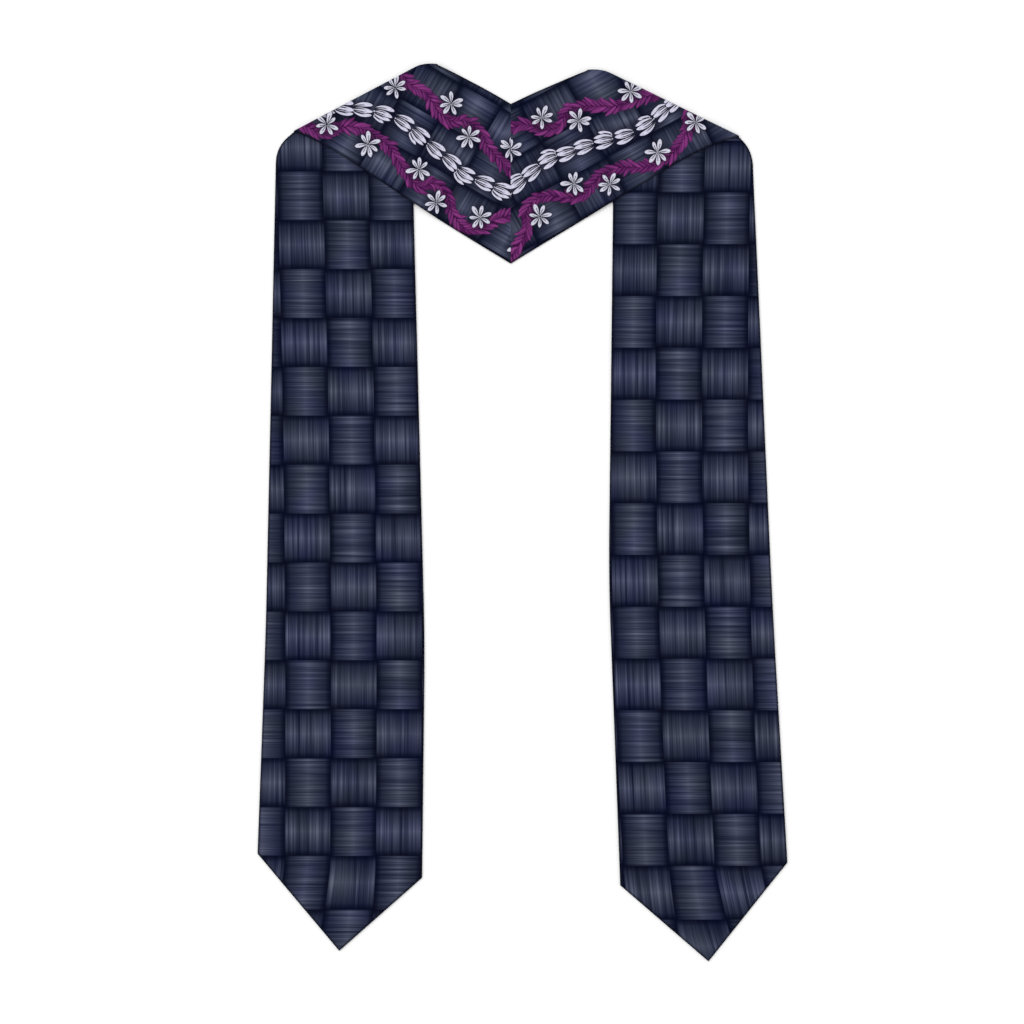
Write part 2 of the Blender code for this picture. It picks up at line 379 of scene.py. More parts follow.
def edge_distance(grid):
    """How far each point of a grid is in from the grid's own border, apart from its last row, the seam.

    Lengths are added up along each row and column from both borders, and each is multiplied by the sine
    of the angle at which its line meets the border.
    """
    nearest = []
    for line in (grid, grid[:, ::-1], grid.transpose(1, 0, 2)):
        step = np.diff(line, axis=1)
        border = np.gradient(line[:, 0], axis=0)
        sine = np.linalg.norm(np.cross(step[:, 0], border), axis=-1) / (
            np.linalg.norm(step[:, 0], axis=-1) * np.linalg.norm(border, axis=-1))
        length = np.cumsum(np.linalg.norm(step, axis=-1), axis=1)
        nearest.append(np.insert(length, 0, 0, axis=1) * sine[:, None])
    return np.minimum(np.minimum(nearest[0], nearest[1][:, ::-1]), nearest[2].T)


def strip_surface(half, cloth):
    """The strip's middle surface, its flat patterns and its distance in from the edges.

    Near the fold both layers close on a half round whose height is the space between them. Past the
    panel's inner edge the yoke comes down to the floor on a smooth step. The flat pattern of the side
    that shows is its floor plan, moved out near the fold by what the roll hides. The other side's is
    mirrored across the fold.
    """
    columns = column_shares(cloth.edge_round)
    fold = fold_line(half, columns)
    panel, inner = panel_plan(half, fold, row_shares(PANEL_LENGTH, cloth.edge_round), columns)
    yoke = yoke_plan(half, fold, row_shares(half.fold_out * HALF_WIDTH, cloth.edge_round), columns)
    outward = fold_outward(half)

    def height(plan, upper):
        """How high the layer lies, and how much longer its way round the roll is than on the plan."""
        away = nearest_on(fold, plan)[0]
        turn = np.sqrt(1 - (1 - np.clip(away / ROLL_RADIUS, 0, 1)) ** 2)
        apart = PRESSED + LOOP_RISE * np.exp(-((away / LOOP_REACH) ** 2))
        quarter = ROLL_RADIUS * np.arccos(1 - np.clip(away / ROLL_RADIUS, 0, 1))
        slack = np.where(away < ROLL_RADIUS, quarter - away, ROLL_SLACK)
        rise = cloth_rise(plan * (half.side, 1), cloth.waviness)
        if not upper:
            return STRIP / 2 + apart / 2 * (1 - turn) + rise, slack
        edge = np.interp(plan[..., 1], inner[::-1, 1], inner[::-1, 0])
        drop = smooth((edge - plan[..., 0] - DROP_START) / DROP_LENGTH)
        return STRIP / 2 + apart / 2 * (1 + turn) * (1 - drop) + rise, slack

    def shown(plan, slack):
        return plan + (ROLL_SLACK - slack)[..., None] * outward

    def turned(plan, slack):
        behind = ((fold - plan) * outward).sum(-1)
        return plan + (2 * behind + ROLL_SLACK + slack)[..., None] * outward

    lower, lower_slack = height(panel, False)
    upper, upper_slack = height(yoke[1:], True)
    plan = np.concatenate([panel[::-1], yoke[1:]])
    lining = np.concatenate([shown(panel, lower_slack)[::-1], turned(yoke[1:], upper_slack)])
    face = np.concatenate([turned(panel, lower_slack)[::-1], shown(yoke[1:], upper_slack)])
    grid = np.dstack([plan * (half.side, 1), np.concatenate([lower[::-1], upper])])
    patterns = {"face": face * (half.side, 1) / SQUARE, "lining": lining * (half.side, 1) / SQUARE}
    if half.side > 0:
        grid = grid[:, ::-1]
        patterns = {ply: pattern[:, ::-1] for ply, pattern in patterns.items()}
    return grid, patterns, edge_distance(grid)


def normals_of(grid):
    """The unit normal at each point of a grid, towards the lining."""
    normal = np.cross(np.gradient(grid, axis=0), np.gradient(grid, axis=1))
    return normal / np.linalg.norm(normal, axis=-1, keepdims=True)


def stole_origin():
    """Where the yoke's lower point is in the frame, from the right half's outer corner and tip."""
    low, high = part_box("right_face")
    return np.array([high[0] - RIGHT.outer_out * HALF_WIDTH, low[1] + SOLID_TIP_DROP, 0.0])


def plait_cells(pattern, plait, splay_side):
    """Cell coordinates of a plait: (across, down) counted in cells from one of its crossings.

    The pattern is turned to the strips, its lines lean and bow, and below the splay's start they bend
    outwards, to the splay side: -1 or 1, or 0 where they don't.
    """
    x, y = pattern[..., 0] - plait.x, pattern[..., 1] - plait.y
    turn = np.radians(plait.turn)
    across = x * np.cos(turn) + y * np.sin(turn)
    down = x * np.sin(turn) - y * np.cos(turn)
    bow = plait.bow * (1 - ((pattern[..., 1] - plait.bow_at) / plait.bow_reach) ** 2)
    across -= plait.lean * down + bow
    splay =np.clip((SPLAY_START - pattern[..., 1]) / SPLAY_LENGTH, 0, None)
    outward = np.clip((abs(pattern[..., 0]) - SPLAY_FROM) / SPLAY_WIDTH, *SPLAY_LIMITS)
    across -= splay_side * SPLAY_SHIFT * outward * splay ** SPLAY_POWER
    down -= abs(splay_side) * plait.stretch * splay
    return across / plait.width, down / plait.height


def smooth_path(points):
    """A path through the points, each stretch a cubic whose end slopes are those between its neighbours."""
    slope = np.gradient(points, axis=0)
    t = np.arange(PATH_PIECES)[:, None] / PATH_PIECES
    start, end = points[:-1, None], points[1:, None]
    cubic = ((2 * t ** 3 - 3 * t ** 2 + 1) * start + (t ** 3 - 2 * t ** 2 + t) * slope[:-1, None]
             + (3 * t ** 2 - 2 * t ** 3) * end + (t ** 3 - t ** 2) * slope[1:, None])
    return np.concatenate([cubic.reshape(-1, 2), points[-1:]])


def along_path(path, pattern):
    """(length along the path, distance to its left, plain distance) of each point of the pattern."""
    distance, stretch, share = nearest_on(path, pattern)
    step = np.diff(path, axis=0)
    length = np.linalg.norm(step, axis=-1)
    along = np.insert(np.cumsum(length), 0, 0)[stretch] + share * length[stretch]
    offset = pattern - path[stretch]
    heading = step[stretch] / length[stretch][..., None]
    left = heading[..., 0] * offset[..., 1] - heading[..., 1] * offset[..., 0]
    return along, left, distance


def charted(half, points):
    """A row of (out, up) as (x, y) in squares."""
    return np.asarray(points, float) * (half.side, 1)


def carried_on(half, path):
    """The path with two stretches before it: a short one straight on, and one along the strip to its end."""
    ahead = path[0] - path[1]
    knee = path[0] + CARRY_START * ahead / np.linalg.norm(ahead)
    turn = np.radians(abs(YOKE_PLAITS[half.name].turn))
    along_strip = np.array([half.side * np.cos(turn), np.sin(turn)])
    return np.concatenate([[knee + CARRY_LENGTH * along_strip, knee], path])


def garland_coordinates(half, pattern):
    """Coordinates along and across the nearer leaf garland, with the plain distance from it."""
    rows = []
    for row in LEAF_ROWS[half.name]:
        along, left, distance = along_path(carried_on(half, smooth_path(charted(half, row))), pattern)
        rows.append(np.stack([along - CARRY_LENGTH - CARRY_START, left, distance], -1))
    nearer = rows[0][..., 2:] < rows[1][..., 2:]
    return np.where(nearer, rows[0], rows[1])


def strand_coordinates(half, pattern):
    """Coordinates along and across the strand of buds: each bud is one unit long, with its middle at a
    whole number, then the distance to the left of the strand, and how many squares the unit is there."""
    path = carried_on(half, smooth_path(charted(half, BUD_ROW[half.name])))
    along, left, _ = along_path(path, pattern)
    length = np.insert(np.cumsum(np.linalg.norm(np.diff(path, axis=0), axis=-1)), 0, 0)
    middles = length[2::PATH_PIECES]  # past the two stretches before the row
    count =np.interp(along, middles, np.arange(len(middles)))
    count += np.minimum(along - middles[0], 0) / (middles[1] - middles[0])
    unit = np.gradient(middles)[np.clip(np.rint(count), 0, None).astype(int)]
    return np.stack([count, left, unit], -1)


def flower_coordinates(half, pattern):
    """Coordinates from the middle of the nearest flower, turned so that one petal points along x, with the
    distance from it, and the flower's number three times over."""
    middles = charted(half, FLOWERS[half.name])
    offset = pattern[..., None, :] - middles
    nearest = np.linalg.norm(offset, axis=-1).argmin(-1)
    offset = np.take_along_axis(offset, nearest[..., None, None], -2)[..., 0, :]
    turn = np.radians(PETAL_TURN[half.name])
    x = offset[..., 0] * np.cos(turn) + offset[..., 1] * np.sin(turn)
    y = offset[..., 1] * np.cos(turn) - offset[..., 0] * np.sin(turn)
    return np.stack([x, y, np.hypot(x, y)], -1), np.stack([nearest] * 3, -1)


def sheet_map(rows_at, columns_at, border):
    """Texture coordinates for the corners of a ply's quads, in the order outer side, inner side, rim.

    The outer side is cut into lengths that lie beside one another, the inner side is a narrow band above
    them, and the rim is a line above that.
    """
    total, across = rows_at[-1], MAP_WIDTH + MAP_ROOM
    size = MAP_LENGTHS * across + MAP_ROOM
    inside = size - 2 * MAP_ROOM
    part = total / MAP_LENGTHS
    row_a, col_a = np.meshgrid(rows_at[:-1], columns_at[:-1], indexing="ij")
    row_b, col_b = np.meshgrid(rows_at[1:], columns_at[1:], indexing="ij")
    rows = np.stack([row_a, row_a, row_b, row_b], -1)
    cols = np.stack([col_a, col_b, col_b, col_a], -1)
    number = np.clip(np.floor((row_a + row_b) / 2 / part), 0, MAP_LENGTHS - 1)[..., None]
    outer = np.stack([MAP_ROOM + number * across + cols * MAP_WIDTH, MAP_ROOM + rows - number * part], -1)
    band = part + 3 * MAP_ROOM + ROW_STEP
    inner = np.stack([MAP_ROOM + rows / total * inside, band + cols * MAP_WIDTH / MAP_BAND], -1)
    line = band + MAP_WIDTH / MAP_BAND + 2 * MAP_ROOM
    at = MAP_ROOM + np.arange(border) / border * inside
    ahead = at + inside / border
    low, high = np.full(border, line), np.full(border, line + MAP_ROOM)
    rim = np.stack([at, low, ahead, low, ahead, high, at, high], -1)
    return [corners.reshape(-1, 4, 2) / size for corners in (outer, inner, rim)]


def closed_sheet(grid, edge, outer_side, edge_round):
    """Points and quads of a ply on the grid's face side, -1, or lining side, +1, and how many quads its
    rim has.

    Its outer side keeps the ply's thickness and comes round to the edge on a quarter turn, so that both
    plies meet there as in a turned and pressed seam.
    """
    normal = normals_of(grid)
    rounding = np.sqrt(1 - (1 - np.clip(edge / edge_round, 0, 1)) ** 2)
    outer = outer_side * (PLY_GAP / 2 + RIM + (PLY - RIM) * rounding)
    inner = np.full_like(outer, outer_side * PLY_GAP / 2)
    sides = (outer, inner) if outer_side > 0 else (inner, outer)
    points = np.concatenate([(grid + side[..., None] * normal).reshape(-1, 3) for side in sides])
    count = edge.size
    index = np.arange(count).reshape(edge.shape)
    quads = np.stack([index[:-1, :-1], index[:-1, 1:], index[1:, 1:], index[1:, :-1]], -1).reshape(-1, 4)
    loop = np.concatenate([index[0, :-1], index[:-1, -1], index[-1, :0:-1], index[:0:-1, 0]])
    ahead = np.roll(loop, -1)
    rim = np.stack([loop, ahead, ahead + count, loop + count], -1)
    return points, np.concatenate([quads[:, ::-1], quads + count, rim]), len(loop)


def ply_piece(name, grid, edge, outer_side, cloth, coordinates):
    """One ply as an object, with its texture map and the coordinates that its material reads."""
    points, faces, border = closed_sheet(grid, edge, outer_side, cloth.edge_round)
    middle = grid[:, grid.shape[1] // 2]
    rows_at = np.insert(np.cumsum(np.linalg.norm(np.diff(middle, axis=0), axis=-1)), 0, 0)
    outer_map, inner_map, rim_map = sheet_map(rows_at, column_shares(cloth.edge_round), border)
    high_map, low_map = (outer_map, inner_map) if outer_side > 0 else (inner_map, outer_map)
    corners = np.concatenate([high_map[:, ::-1], low_map, rim_map])

    mesh = bpy.data.meshes.new(name)
    mesh.from_pydata(points + stole_origin(), [], faces)
    mesh.polygons.foreach_set("use_smooth", np.ones(len(faces), bool))
    mesh.uv_layers.new(name="OFBake").data.foreach_set("uv", corners.astype(np.float32).ravel())
    for label, values in coordinates.items():
        layer = mesh.attributes.new(label, "FLOAT_VECTOR", "POINT")
        both = np.concatenate([values.reshape(-1, 3)] * 2).astype(np.float32)
        layer.data.foreach_set("vector", both.ravel())
    mesh.update()
    piece = bpy.data.objects.new(name, mesh)
    bpy.context.scene.collection.objects.link(piece)
    return piece


def flat_size(grid):
    """The panel's widest width from edge to edge, the length of the strip's middle line and its area."""
    width = np.linalg.norm(grid[:, -1] - grid[:, 0], axis=-1)
    length = np.linalg.norm(np.diff(grid[:, grid.shape[1] // 2], axis=0), axis=-1).sum()
    cross = np.cross(np.diff(grid, axis=1)[:-1], np.diff(grid, axis=0)[:, :-1])
    return width[:len(width) // 2].max(), length, np.linalg.norm(cross, axis=-1).sum()


def node_method(operation, swapped=False):
    """A method of Signal that does the operation in a node, with the signal last if swapped."""

    def method(self, *others):
        values = (*others, self) if swapped else (self, *others)
        return calculate(self.tree, operation, *values)

    return method


class Signal:
    """A number that runs through a material's nodes, so that a sum of them is written as a sum."""

    def __init__(self, tree, socket):
        self.tree, self.socket = tree, socket

    __add__ = __radd__ = node_method("ADD")
    __mul__ = __rmul__ = node_method("MULTIPLY")
    __sub__, __rsub__ = node_method("SUBTRACT"), node_method("SUBTRACT", swapped=True)
    __truediv__, __pow__ = node_method("DIVIDE"), node_method("POWER")
    __lt__, __gt__ = node_method("LESS_THAN"), node_method("GREATER_THAN")
    __abs__, floor, fraction = node_method("ABSOLUTE"), node_method("FLOOR"), node_method("FRACT")
    cosine, sine = node_method("COSINE"), node_method("SINE")
    at_least, at_most = node_method("MAXIMUM"), node_method("MINIMUM")

    def fade(self, from_value, to_value):
        """0 at from_value, 1 at to_value, straight between them and level past them."""
        scale = 1 / (to_value - from_value)
        faded = calculate(self.tree, "MULTIPLY_ADD", self, scale, -from_value * scale)
        faded.socket.node.use_clamp = True
        return faded


def link_or_set(tree, entry, value):
    """Gives a node's input a signal or a fixed value."""
    if isinstance(value, Signal):
        tree.links.new(value.socket, entry)
    else:
        entry.default_value = value


def calculate(tree, operation, *values):
    """The result of a math node."""
    node = tree.nodes.new("ShaderNodeMath")
    node.operation = operation
    for entry, value in zip(node.inputs, values):
        link_or_set(tree, entry, value)
    return Signal(tree, node.outputs[0])


def read_attribute(tree, name):
    """The three numbers of a point attribute."""
    attribute = tree.nodes.new("ShaderNodeAttribute")
    attribute.attribute_name = name
    split = tree.nodes.new("ShaderNodeSeparateXYZ")
    tree.links.new(attribute.outputs["Vector"], split.inputs[0])
    return [Signal(tree, output) for output in split.outputs]


def combine(tree, *values):
    """A place with these three coordinates."""
    node = tree.nodes.new("ShaderNodeCombineXYZ")
    for entry, value in zip(node.inputs, values):
        link_or_set(tree, entry, value)
    return Signal(tree, node.outputs[0])


def noise(tree, place, detail):
    """Soft noise around 0.5 at a place, one bump to about each whole number."""
    node = tree.nodes.new("ShaderNodeTexNoise")
    node.inputs["Scale"].default_value = 1.0
    node.inputs["Detail"].default_value = detail
    tree.links.new(place.socket, node.inputs["Vector"])
    return Signal(tree, node.outputs["Factor" if "Factor" in node.outputs else "Fac"])


def lot(tree, *numbers):
    """A number from 0 to 1 that is drawn anew for every different set of whole numbers."""
    node = tree.nodes.new("ShaderNodeTexWhiteNoise")
    node.noise_dimensions = "3D"
    tree.links.new(combine(tree, *numbers).socket, node.inputs["Vector"])
    return Signal(tree, node.outputs["Value"])


def blend(tree, share, under, over):
    """The colour under, with the colour over on it by a share."""
    node = tree.nodes.new("ShaderNodeMix")
    node.data_type = "RGBA"
    link_or_set(tree, node.inputs["Factor"], share)
    link_or_set(tree, node.inputs["A"], under)
    link_or_set(tree, node.inputs["B"], over)
    return Signal(tree, node.outputs["Result"])


def linear(colour):
    """A colour of 0 to 255 per channel as a screen shows it, in linear light with full alpha."""
    share = np.asarray(colour, float) / 255
    light = np.where(share < 0.04045, share / 12.92, ((share + 0.055) / 1.055) ** 2.4)
    return (*light.tolist(), 1.0)


def ramp(tree, level, levels, colours):
    """The colour at a level, between colours that stand at rising levels."""
    node = tree.nodes.new("ShaderNodeValToRGB")
    elements = node.color_ramp.elements
    while len(elements) < len(levels):
        elements.new(1.0)
    for element, place, colour in zip(elements, levels, colours):
        element.position = place
        element.color = colour
    tree.links.new(level.socket, node.inputs["Fac"])
    return Signal(tree, node.outputs["Color"])


def navy(grey, blue):
    """The cloth's blue grey at a grey level of 0 to 255, and how blue it is, from 0 to 1."""
    return linear(np.clip((grey - 8 - 4 * blue, grey - 3 - 6 * blue, grey + 12 + 13 * blue), 0, 255))


def plait_level(tree, a, b, look):
    """Brightness of the printed plait, as a share of the ramp.

    In each cell one strip lies on top, and its kind takes turns. Along the strip the brightness rises from
    both ends to the middle, and it falls off where the strip dips under the next ones. Streaks of two
    widths run along the whole strip.
    """
    turns = ((a.floor() + b.floor()) * 0.5).fraction() * 2
    x, y = a.fraction(), b.fraction()
    along, across = x + (y - x) * turns, y + (x - y) * turns
    whole_along, whole_across = a + (b - a) * turns, b + (a - b) * turns
    rise, side = 1 - abs(along * 2 - 1), 1 - abs(across * 2 - 1)

    def streaks(number, changes, salt):
        """Noise around 0 that runs along the strips: how many bumps across and along one, and its salt."""
        place = combine(tree, whole_across * number, whole_along * changes, turns * salt)
        return noise(tree, place, 1.0) - 0.5

    broad, fine = streaks(look.streaks, 0.25, 9.3), streaks(look.streaks * 2.3, 0.6, 4.7)
    streak = (broad + fine * 0.8) * look.streak_strength
    level = look.plait_dark + (look.plait_light - look.plait_dark) * rise
    ends, sides = rise.fade(0.0, 0.24) * 0.6 + 0.4, side.fade(0.0, 0.07) * 0.3 + 0.7
    return level * (streak + 1) * ends * sides


def plait_colour(tree, level, a, b):
    """The level's blue grey, bluer in some soft patches."""
    levels = [grey / 100 for grey in PLAIT_GREYS]
    plain, blue = (ramp(tree, level, levels, [navy(grey, tint) for grey in PLAIT_GREYS])
                   for tint in PLAIT_TINTS)
    patch =noise(tree, combine(tree, a * 1.3, b * 1.3, 2.0), 1.0)
    return blend(tree, patch.fade(0.35, 0.72), plain, blue)


def leaves(tree, ground, look):
    """Leaf garlands over the ground colour.

    On both sides of the garland's line leaves grow at even steps and splay forwards. Each point is
    looked up in the leaves whose bases lie behind it, the nearest base first and the farthest on top.
    """
    along, left, distance = read_attribute(tree, "garland")
    side = left > 0.0
    reach = abs(left)
    place = along / look.leaf_step + side * 0.5
    first = place.floor()
    colour = blend(tree, distance.fade(16.0, 6.0) * 0.45, ground, look.garland_ground)
    colour = blend(tree, distance.fade(5.4, 3.4), colour, look.stem)
    for back in range(LEAF_LAYERS):
        index = first - float(back)
        behind = (place - index) * look.leaf_step
        chance, tone = lot(tree, index, side, 3.0), lot(tree, index, side, 7.0)
        splay = (chance - 0.5) * 0.4 + look.leaf_splay
        cosine, sine = splay.cosine(), splay.sine()
        u =(behind * cosine + reach * sine) / ((tone * 0.45 + 0.78) * look.leaf_length)
        v = (reach * cosine - behind * sine) / (look.leaf_width / 2)
        share = abs(v) / (u * (1 - u) * 4).at_least(0.001) ** 0.8
        grain = noise(tree, combine(tree, v * 1.3, u * 1.4, index * 3.7), 1.0)
        tint = ramp(tree, tone * 0.5 + grain * 0.75 - share * 0.12, LEAF_LEVELS,
                    (look.leaf_deep, look.leaf_dark, look.leaf_light, look.leaf_pale))
        inside = share.fade(1.06, 0.94) * (u > 0.0) * (u < 1.0) * (distance < look.leaf_length)
        leaf = blend(tree, share.fade(0.5, 1.0) * 0.9, tint, look.leaf_edge)
        colour = blend(tree, inside, colour, leaf)
    return colour


def bud_petal(tree, colour, u, v, petal, half_width, wanted, white, dark):
    """One petal of a bud over a colour: a lens along a bowed line from its base to its tip.

    Its half width is that of an ellipse over the share of its length, to a power that puts the widest
    place where the petal has it. Thin dark lines start near its base and end halfway.
    """
    share = ((u - petal.start) / (petal.end - petal.start)).at_least(0.0).at_most(1.0)
    skewed = share ** (np.log(0.5) / np.log(petal.widest))
    room = (skewed * (1 - skewed) * 4).at_least(0.0001) ** 0.5 * (petal.width * half_width)
    middle = share * (petal.tip - petal.base) + share * (1 - share) * (4 * petal.bulge) + petal.base
    away = (v - middle) * half_width
    depth = room - abs(away)
    lined = depth.fade(0.65, 0.25)
    for at in petal.lines:
        line = abs(away - room * at).fade(0.7, 0.3) * (share > 0.06) * share.fade(0.7, 0.5)
        lined = lined.at_least(line)
    inside = depth.fade(-0.5, -0.1) * (share > 0.0) * (share < 1.0)
    return blend(tree, inside * wanted, colour, blend(tree, lined, white, dark))


def buds(tree, ground, look):
    """The strand of buds over the ground colour.

    Each bud has a middle petal with one on either side of it, and the one on its left draws away from it.
    In some a fourth petal spreads to the right.
    """
    count, left, unit = read_attribute(tree, "strand")
    number = (count + 0.5).floor()
    u = (count - number) * unit / look.bud_length + 0.5
    half_width = look.bud_width / 2
    v = left / half_width
    fifth = (number * 0.2 + 0.001).fraction() * 5
    spread = (abs(fifth - 3.0) < 0.5) + (fifth < 0.5)
    dark = look.bud_ground
    colour = blend(tree, abs(left).fade(look.bud_width, half_width) * 0.65, ground, dark)
    grain = noise(tree, combine(tree, count * 9.0, left * 1.3, 0.0), 2.0)
    white = ramp(tree, grain, PETAL_LEVELS, (look.bud_shade, look.bud_white, look.bud_light))
    near = abs(left) < look.bud_width
    colour = bud_petal(tree, colour, u, v, SPREAD_PETAL, half_width, spread * near, white, dark)
    for petal in BUD_PETALS:
        colour = bud_petal(tree, colour, u, v, petal, half_width, near, white, dark)
    return colour


def flowers(tree, ground, look):
    """Flowers over the ground colour, worked out in angle and distance from the middle.

    Each petal is a lens, widest past its middle, whose length, width, direction and bend are drawn by lot.
    """
    x, y, distance = read_attribute(tree, "flower")
    number = (read_attribute(tree, "bloom")[0] + 0.5).floor()
    angle = calculate(tree, "ARCTAN2", y, x)
    sector = 2 * np.pi / PETALS
    petal = (angle / sector + 0.5).floor()
    chance, other = lot(tree, petal, number, 1.0), lot(tree, petal, number, 5.0)
    turned = angle - petal * sector + (chance - 0.5) * 0.2
    along = distance * turned.cosine() / ((other * 0.24 + 0.84) * look.flower_radius)
    across = distance * turned.sine() + (chance - 0.5) * along * along * 3.4
    share = (along - 0.08) / 0.92
    room = (share * (1 - share) * 4).at_least(0.0001) ** 0.6 * (share * 0.8 + 0.42)
    depth = room * ((other * 0.3 + 0.85) * look.petal_width / 2) - abs(across)
    dark = look.flower_ground
    grain = noise(tree, combine(tree, x * 0.9, y * 0.9, number * 3.0), 2.0)
    white = ramp(tree, grain, PETAL_LEVELS, (look.flower_shade, look.flower_white, look.flower_light))
    near = (distance < look.flower_radius * 1.1) * (share < 1.0)
    line = abs(across + (other - 0.5) * 0.9).fade(0.6, 0.2) * (share < 0.66) * (share > 0.12)
    around = distance.fade(look.flower_radius * 1.3, look.flower_radius * 0.8) * 0.55
    outline = distance.fade(3.0, 2.2).at_least(depth.fade(-1.0, -0.3) * near)
    colour = blend(tree, outline, blend(tree, around, ground, dark), dark)
    inside = depth.fade(0.0, 0.5) * near * (share > 0.0)
    return blend(tree, inside, colour, blend(tree, line * 0.9, white, dark))


def cloth_material(name, paint, lift, look):
    """A matte satin: the printed colour with painted shade near its edges, a low gloss and a bump of fine
    threads along the strip.

    The plait is lighter by the lift.
    """
    material = bpy.data.materials.new(name)
    material.use_nodes = True
    tree = material.node_tree
    shader = tree.nodes["Principled BSDF"]
    shader.inputs["Roughness"].default_value = look.roughness
    shader.inputs["Specular IOR Level"].default_value = look.gloss
    a, b, edge = read_attribute(tree, "plait")
    colour = paint(tree, plait_colour(tree, plait_level(tree, a, b, look) * lift, a, b), look)
    # Painted shade: the colour darkens towards the cloth's edges, as if the turned edge rounded away from
    # the light.
    colour = blend(tree, edge.fade(EDGE_SHADE_START, EDGE_SHADE_END) * EDGE_SHADE_STRENGTH, colour, look.edge_painted_shade)
    tree.links.new(colour.socket, shader.inputs["Base Color"])
    thread = noise(tree, combine(tree, a * THREADS[0], b * THREADS[1], 0.0), 1.0)
    bump = tree.nodes.new("ShaderNodeBump")
    bump.inputs["Strength"].default_value = THREAD_STRENGTH
    bump.inputs["Distance"].default_value = THREAD_HEIGHT
    tree.links.new(thread.socket, bump.inputs["Height"])
    tree.links.new(bump.outputs[0], shader.inputs["Normal"])
    return material


def printed_face(tree, ground, look):
    """The face's print: leaves, then buds, then flowers over the plait."""
    return flowers(tree, buds(tree, leaves(tree, ground, look), look), look)


def plain_plait(tree, ground, look):
    """The lining's print: nothing over the plait."""
    return ground


def colour_setting(name, description, colour):
    """A colour that a user can change, in linear light."""
    return bpy.props.FloatVectorProperty(
        name=name, description=description, default=colour, size=4, min=0.0, max=1.0, subtype="COLOR")


class StoleCloth(bpy.types.PropertyGroup):
    """How the cloth is drawn."""

    edge_round: bpy.props.FloatProperty(
        name="Edge roundness", description="How far in from an edge the cloth begins to turn over",
        default=0.0015, min=0.0005, max=0.004, precision=4, unit="LENGTH")
    waviness: bpy.props.FloatProperty(
        name="Waviness", description="Share of the soft waves that the lying cloth keeps",
        default=1.0, min=0.0, max=2.0, subtype="FACTOR")


class StolePrint(bpy.types.PropertyGroup):
    """Sizes of the print in chart squares, its strengths and its colours."""

    plait_dark: bpy.props.FloatProperty(
        name="Plait ends", description="Brightness at the ends of a plaited strip",
        default=0.25, subtype="FACTOR")
    plait_light: bpy.props.FloatProperty(
        name="Plait middle", description="Brightness in the middle of a plaited strip",
        default=0.69, subtype="FACTOR")
    streaks: bpy.props.FloatProperty(
        name="Streaks", description="Broad streaks across one strip", default=18.0)
    streak_strength: bpy.props.FloatProperty(
        name="Streak strength", description="How strongly the streaks change the brightness", default=1.3)
    face_lift: bpy.props.FloatProperty(
        name="Face lift", description="How many times as bright the plait is on the faces", default=1.12)
    leaf_length: bpy.props.FloatProperty(
        name="Leaf length", description="Length of a leaf in squares", default=11.5)
    leaf_width: bpy.props.FloatProperty(
        name="Leaf width", description="Width of a leaf in squares", default=4.2)
    leaf_step: bpy.props.FloatProperty(
        name="Leaf step", description="Squares from one leaf to the next on one side", default=4.6)
    leaf_splay: bpy.props.FloatProperty(
        name="Leaf splay", description="Angle between a leaf and its garland", default=0.62, subtype="ANGLE")
    bud_length: bpy.props.FloatProperty(
        name="Bud length", description="Length of a bud in squares", default=19.8)
    bud_width: bpy.props.FloatProperty(
        name="Bud width", description="Width of a bud in squares", default=14.6)
    flower_radius: bpy.props.FloatProperty(
        name="Flower radius", description="From a flower's middle to its petals' tips, in squares",
        default=12.6)
    petal_width: bpy.props.FloatProperty(
        name="Petal width", description="Width of a flower's petal in squares", default=4.9)
    gloss: bpy.props.FloatProperty(
        name="Gloss", description="Specular level of the cloth", default=0.03, subtype="FACTOR")
    roughness: bpy.props.FloatProperty(
        name="Roughness", description="How matte the cloth is", default=0.75, subtype="FACTOR")
    garland_ground: colour_setting("Garland ground", "Ground close to a garland", linear((8, 9, 26)))
    bud_ground: colour_setting("Bud ground", "Ground and lines of the buds", linear((9, 10, 27)))
    flower_ground: colour_setting("Flower ground", "Ground and lines of the flowers", linear((10, 11, 28)))
    # Painted shade: the colour that the cloth darkens to along its edges.
    edge_painted_shade: colour_setting("Edge ground", "Ground at the cloth's edges", linear((8, 9, 22)))
    stem: colour_setting("Stem", "The line that leaves grow from", linear((50, 9, 54)))
    leaf_edge: colour_setting("Leaf edge", "A leaf's dark edge", linear((34, 6, 40)))
    leaf_deep: colour_setting("Deep leaf", "First of the leaves' four colours", linear((58, 12, 60)))
    leaf_dark: colour_setting("Dark leaf", "Second of them", linear((82, 26, 80)))
    leaf_light: colour_setting("Light leaf", "Third of them", linear((101, 40, 97)))
    leaf_pale: colour_setting("Pale leaf", "Fourth of them", linear((128, 52, 118)))
    bud_shade: colour_setting("Bud shade", "Darkest white of the buds", linear((162, 160, 182)))
    bud_white: colour_setting("Bud white", "Middle white of the buds", linear((195, 193, 213)))
    bud_light: colour_setting("Bud light", "Lightest white of the buds", linear((219, 218, 236)))
    flower_shade: colour_setting("Flower shade", "Darkest white of the flowers", linear((160, 159, 178)))
    flower_white: colour_setting("Flower white", "Middle white of the flowers", linear((194, 193, 209)))
    flower_light: colour_setting("Flower light", "Lightest white of the flowers", linear((220, 219, 234)))


class StoleStage(bpy.types.PropertyGroup):
    """The floor, light and camera."""

    view_width: bpy.props.FloatProperty(
        name="View width", description="Width of the floor that the camera sees",
        default=0.9216, unit="LENGTH")
    lens: bpy.props.FloatProperty(
        name="Lens", description="Focal length in millimetres", default=100.0)
    floor_colour: colour_setting("Floor colour", "Colour of the paper floor", (0.93, 0.93, 0.93, 1.0))
    floor_side: bpy.props.FloatProperty(
        name="Floor side", description="Side of the square floor", default=8.0, unit="LENGTH")
    sky_light: bpy.props.FloatProperty(
        name="Sky light", description="Strength of the even light from all round", default=0.75)
    lamp_power: bpy.props.FloatProperty(
        name="Lamp power", description="Power of the large soft lamp overhead", default=60.0, unit="POWER")


